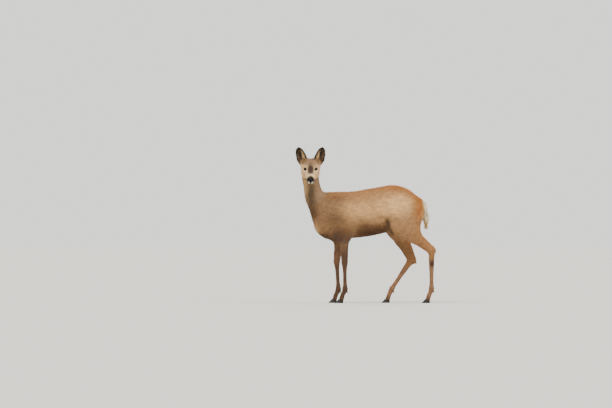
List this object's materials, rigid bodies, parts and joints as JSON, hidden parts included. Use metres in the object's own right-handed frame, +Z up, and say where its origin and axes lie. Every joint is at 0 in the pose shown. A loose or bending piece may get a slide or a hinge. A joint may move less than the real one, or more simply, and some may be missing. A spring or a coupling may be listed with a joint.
{
  "type": "still roe deer model",
  "caption": "Life-size standing roe doe in winter coat, head turned to its left to look out, one hind leg stepped forward; a still model with no moving parts.",
  "frame": {"origin": "on the floor, under the middle of the bounding box", "axes": "+Z up; +X towards the rump, so the breast faces -X; the left flank and the turned head face -Y"},
  "size_m": [0.847, 0.2424, 0.9355],
  "materials": {
    "coat": "short dense winter hair",
    "leg_fur": "short flat hair",
    "white_fur": "long soft hair",
    "dark_fur": "short fine hair",
    "nose": "moist, finely pebbled",
    "eye": "polished",
    "horn": "smooth horn"
  },
  "bodies": {
    "root": {"trunk": "coat", "neck": "coat", "head": "coat", "lower_jaw": "coat", "tail_tuft": "white_fur", "ear_left": "dark_fur", "ear_right": "dark_fur", "nose": "nose", "eye_left": "eye", "eye_right": "eye", "leg_front_left_upper": "coat", "leg_front_left_shank": "leg_fur", "leg_front_left_cannon": "leg_fur", "leg_front_left_pastern": "leg_fur", "hoof_front_left_outer": "horn", "dewclaw_front_left_outer": "horn", "hoof_front_left_inner": "horn", "dewclaw_front_left_inner": "horn", "leg_front_right_upper": "coat", "leg_front_right_shank": "leg_fur", "leg_front_right_cannon": "leg_fur", "leg_front_right_pastern": "leg_fur", "hoof_front_right_outer": "horn", "dewclaw_front_right_outer": "horn", "hoof_front_right_inner": "horn", "dewclaw_front_right_inner": "horn", "leg_hind_left_upper": "coat", "leg_hind_left_shank": "leg_fur", "leg_hind_left_cannon": "leg_fur", "leg_hind_left_pastern": "leg_fur", "hoof_hind_left_outer": "horn", "dewclaw_hind_left_outer": "horn", "hoof_hind_left_inner": "horn", "dewclaw_hind_left_inner": "horn", "leg_hind_right_upper": "coat", "leg_hind_right_shank": "leg_fur", "leg_hind_right_cannon": "leg_fur", "leg_hind_right_pastern": "leg_fur", "hoof_hind_right_outer": "horn", "dewclaw_hind_right_outer": "horn", "hoof_hind_right_inner": "horn", "dewclaw_hind_right_inner": "horn"}
  },
  "joints": []
}
